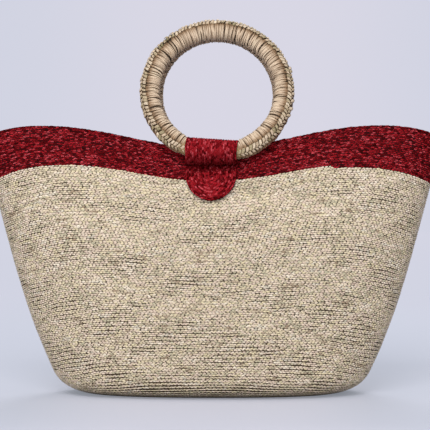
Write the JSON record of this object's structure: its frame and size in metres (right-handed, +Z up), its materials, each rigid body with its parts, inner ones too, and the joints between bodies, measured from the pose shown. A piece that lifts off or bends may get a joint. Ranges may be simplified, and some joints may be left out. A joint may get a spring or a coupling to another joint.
{
  "type": "straw bag",
  "caption": "Open-topped straw bag of sewn palm plait with a dyed rim band and ring handles that fold outward on their tabs.",
  "frame": {"origin": "on the floor under the middle of the base", "axes": "+X along the bag's length, +Y from the front wall to the back wall, +Z up"},
  "size_m": [0.5, 0.1562, 0.4023],
  "materials": {
    "natural_palm": "undyed palm plait in sewn rows, matt to satin",
    "dyed_palm": "crimson dyed palm plait in sewn rows, matt to satin",
    "handle_palm": "undyed palm wound crosswise, satin",
    "lacing_palm": "undyed palm in knotted stitches, satin",
    "core_cane": "bare bent cane"
  },
  "bodies": {
    "bag": {"base_panel": "natural_palm", "body_wall": "natural_palm", "rim_band": "dyed_palm", "front_tab_under_ply": "dyed_palm", "front_tab_outer_ply": "dyed_palm", "back_tab_under_ply": "dyed_palm", "back_tab_outer_ply": "dyed_palm"},
    "front_handle": {"front_tab_loop": "dyed_palm", "front_ring_core": "core_cane", "front_ring_cover": "handle_palm", "front_ring_lacing": "lacing_palm"},
    "back_handle": {"back_tab_loop": "dyed_palm", "back_ring_core": "core_cane", "back_ring_cover": "handle_palm", "back_ring_lacing": "lacing_palm"}
  },
  "joints": [
    {"name": "front_fold", "type": "hinge", "parent": "bag", "child": "front_handle", "pos_m": [0, -0.05754, 0.256], "axis": [1, 0, 0], "range_deg": [0, 160]},
    {"name": "back_fold", "type": "hinge", "parent": "bag", "child": "back_handle", "pos_m": [0, 0.05754, 0.256], "axis": [-1, 0, 0], "range_deg": [0, 160]}
  ]
}
